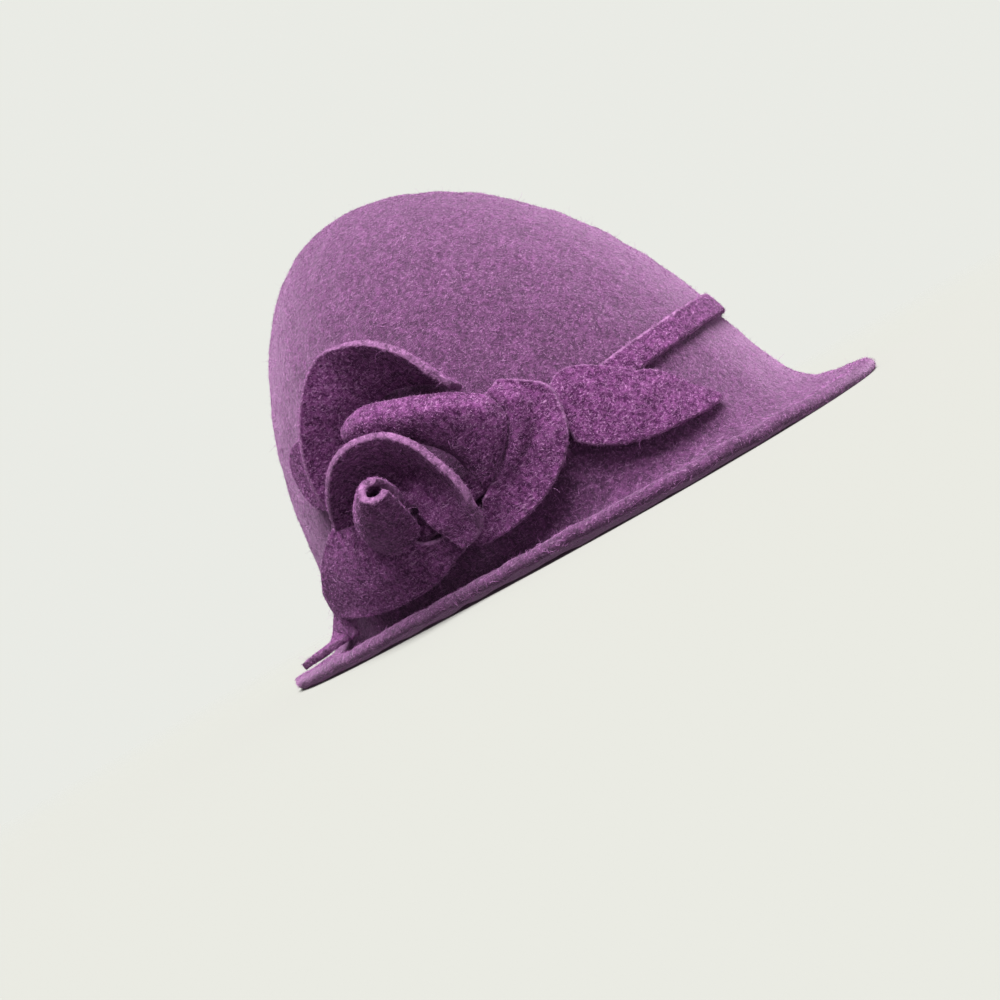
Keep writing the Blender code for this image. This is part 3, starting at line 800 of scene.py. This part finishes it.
def make_rose(material):
    """The petals, leaves and bud. Returns the points and faces of each."""
    # name, its table, mm along it and across it, and how many points each way
    petals = (
        ("inner_petal", INNER_PETAL, 110, 42, 110, 40),
        ("middle_petal", MIDDLE_PETAL, 60, 32, 70, 34),
        ("front_petal", FRONT_PETAL, 60, 24, 90, 30),
        ("upper_petal", UPPER_PETAL, 90, 28, 90, 28),
        ("lower_petal", LOWER_PETAL, 90, 40, 90, 36),
        ("back_petal", BACK_PETAL, 32, 17, 36, 20),
    )
    made = []
    for seed, (name, table, length, width, steps, ribs) in enumerate(petals, 20):
        grid = rib_grid(table, places(length, steps), places(width, ribs))
        made.append(make_trim(name, grid, seed, material))
    for seed, (name, table) in enumerate((("front_leaf", FRONT_LEAF), ("back_leaf", BACK_LEAF)), 40):
        grid = leaf_grid(table, places(50, 70), places(24, 30))
        made.append(make_trim(name, grid, seed, material))
    grid = bud_grid(places(80, 110), places(30, 34))
    made.append(make_trim("bud", grid, 60, material))
    return made


def shared_out(total, made):
    """Each of the made pieces with its part of a total number of fibres, by its area."""
    areas = [
        np.linalg.norm(np.cross(p[f[:, 2]] - p[f[:, 0]], p[f[:, 3]] - p[f[:, 1]]), axis=1).sum()
        for p, f in made
    ]
    return [(p, f, int(total * area / sum(areas))) for (p, f), area in zip(made, areas)]


def add_fuzz(hood, band, rose, material):
    points, crown, brim = hood
    fuzz("crown_fibres", [(points, crown, CROWN_FIBRES)], material, 1)
    low = [(points, brim, BRIM_FIBRES), (*band, BAND_FIBRES)]
    fuzz("brim_fibres", low, material, 2)
    fuzz("rose_fibres", shared_out(ROSE_FIBRES, rose), material, 3, length=(0.6, 2.0))
    hairs = [(points, crown, CROWN_HAIRS), (points, brim, BRIM_HAIRS), *shared_out(ROSE_HAIRS, rose)]
    stray_hairs("stray_hairs", hairs, material, 4)


# The stage


def camera_directions():
    """The rolled camera's right, its up, and the way back from what it looks at."""
    azimuth, elevation, roll = (math.radians(v) for v in (CAMERA_AZIMUTH, CAMERA_ELEVATION, CAMERA_ROLL))
    level = math.cos(elevation)
    back = Vector((math.sin(azimuth) * level, -math.cos(azimuth) * level, math.sin(elevation)))
    right = Vector((0, 0, 1)).cross(back).normalized()
    up = back.cross(right)
    rolled_right = math.cos(roll) * right - math.sin(roll) * up
    rolled_up = math.sin(roll) * right + math.cos(roll) * up
    return rolled_right, rolled_up, back


def set_camera(right, up, back):
    at = LOOKED_AT + back * CAMERA_DISTANCE * MM - right * CAMERA_SIDE * MM - up * CAMERA_UP * MM
    camera = bpy.data.objects.new("camera", bpy.data.cameras.new("camera"))
    camera.matrix_world = Matrix((
        (right.x, up.x, back.x, at.x),
        (right.y, up.y, back.y, at.y),
        (right.z, up.z, back.z, at.z),
        (0, 0, 0, 1),
    ))
    camera.data.sensor_width = 36
    camera.data.lens = CAMERA_LENS
    camera.data.clip_start = 0.01
    bpy.context.scene.collection.objects.link(camera)
    bpy.context.scene.camera = camera


def set_surroundings():
    """A weak even light from all round, and behind the hat an even pale wall."""
    world = bpy.data.worlds.new("studio")
    world.use_nodes = True
    nodes, links = world.node_tree.nodes, world.node_tree.links
    background = nodes["Background"]
    background.inputs["Color"].default_value = (*PALE, 1)
    seen = nodes.new("ShaderNodeLightPath").outputs["Is Camera Ray"]
    links.new(ranged(nodes, links, seen, 0, 1, SURROUND, 1.0), background.inputs["Strength"])
    bpy.context.scene.world = world
    bpy.context.scene.view_settings.view_transform = "Standard"


def set_floor():
    """A pale floor that takes the hat's shadow and fades into the wall."""
    mesh = bpy.data.meshes.new("floor")
    steps = 96
    turns = [2 * math.pi * k / steps for k in range(steps)]
    ring = [(FLOOR_RADIUS * math.cos(turn), FLOOR_RADIUS * math.sin(turn), 0) for turn in turns]
    mesh.from_pydata(ring, [], [tuple(range(steps))])
    floor = bpy.data.objects.new("floor", mesh)
    material = bpy.data.materials.new("pale_floor")
    material.use_nodes = True
    nodes, links = material.node_tree.nodes, material.node_tree.links
    shader = nodes["Principled BSDF"]
    shader.inputs["Base Color"].default_value = (*(FLOOR_SHARE * c for c in PALE), 1)
    shader.inputs["Roughness"].default_value = 1.0
    shader.inputs["Specular IOR Level"].default_value = 0.0
    distance = nodes.new("ShaderNodeVectorMath")
    distance.operation = "LENGTH"
    links.new(nodes.new("ShaderNodeTexCoord").outputs["Object"], distance.inputs[0])
    fade = ranged(nodes, links, distance.outputs["Value"], *FLOOR_FADE, 1.0, 0.0)
    links.new(fade, shader.inputs["Alpha"])
    mesh.materials.append(material)
    floor.visible_diffuse = False
    bpy.context.scene.collection.objects.link(floor)


def set_lamps(right, up, back):
    for name, r, u, b, strength, across in LAMPS:
        way = (right * r + up * u + back * b).normalized()
        lamp = bpy.data.lights.new(name, "SUN")
        lamp.energy, lamp.angle = strength, math.radians(across)
        lamp.color = LAMP_COLOUR
        light = bpy.data.objects.new(name, lamp)
        light.location = LOOKED_AT + way
        light.rotation_euler = (-way).to_track_quat("-Z", "Y").to_euler()
        bpy.context.scene.collection.objects.link(light)


def main():
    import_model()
    for name in ("model_floor", "Cube", "Light", "Camera"):
        if name in bpy.data.objects:
            bpy.data.objects.remove(bpy.data.objects[name], do_unlink=True)

    felt = (FELT_DARK, FELT_MIDDLE, FELT_LIGHT)
    petal_felt = felt_material("petal_wool_felt_painted_rim", *felt, PETAL_SHEEN, PETAL_RIM_HIGHLIGHT)
    # The hood is the petals' felt painted darker, as painted shade, and takes more light only where it
    # curves away
    hood_painted_shade_colours = [tuple(HOOD_PAINTED_SHADE * c for c in colour) for colour in felt]
    hat_felt = felt_material("hat_wool_felt_painted_shade", *hood_painted_shade_colours, HOOD_SHEEN)
    fibre_wool = fuzz_material("felt_fibres", FIBRE_DARK, FIBRE_LIGHT)

    hood = make_hood(hat_felt)
    band = make_band(petal_felt)
    rose = make_rose(petal_felt)
    add_fuzz(hood, band, rose, fibre_wool)

    directions = camera_directions()
    set_camera(*directions)
    set_surroundings()
    set_floor()
    set_lamps(*directions)


main()
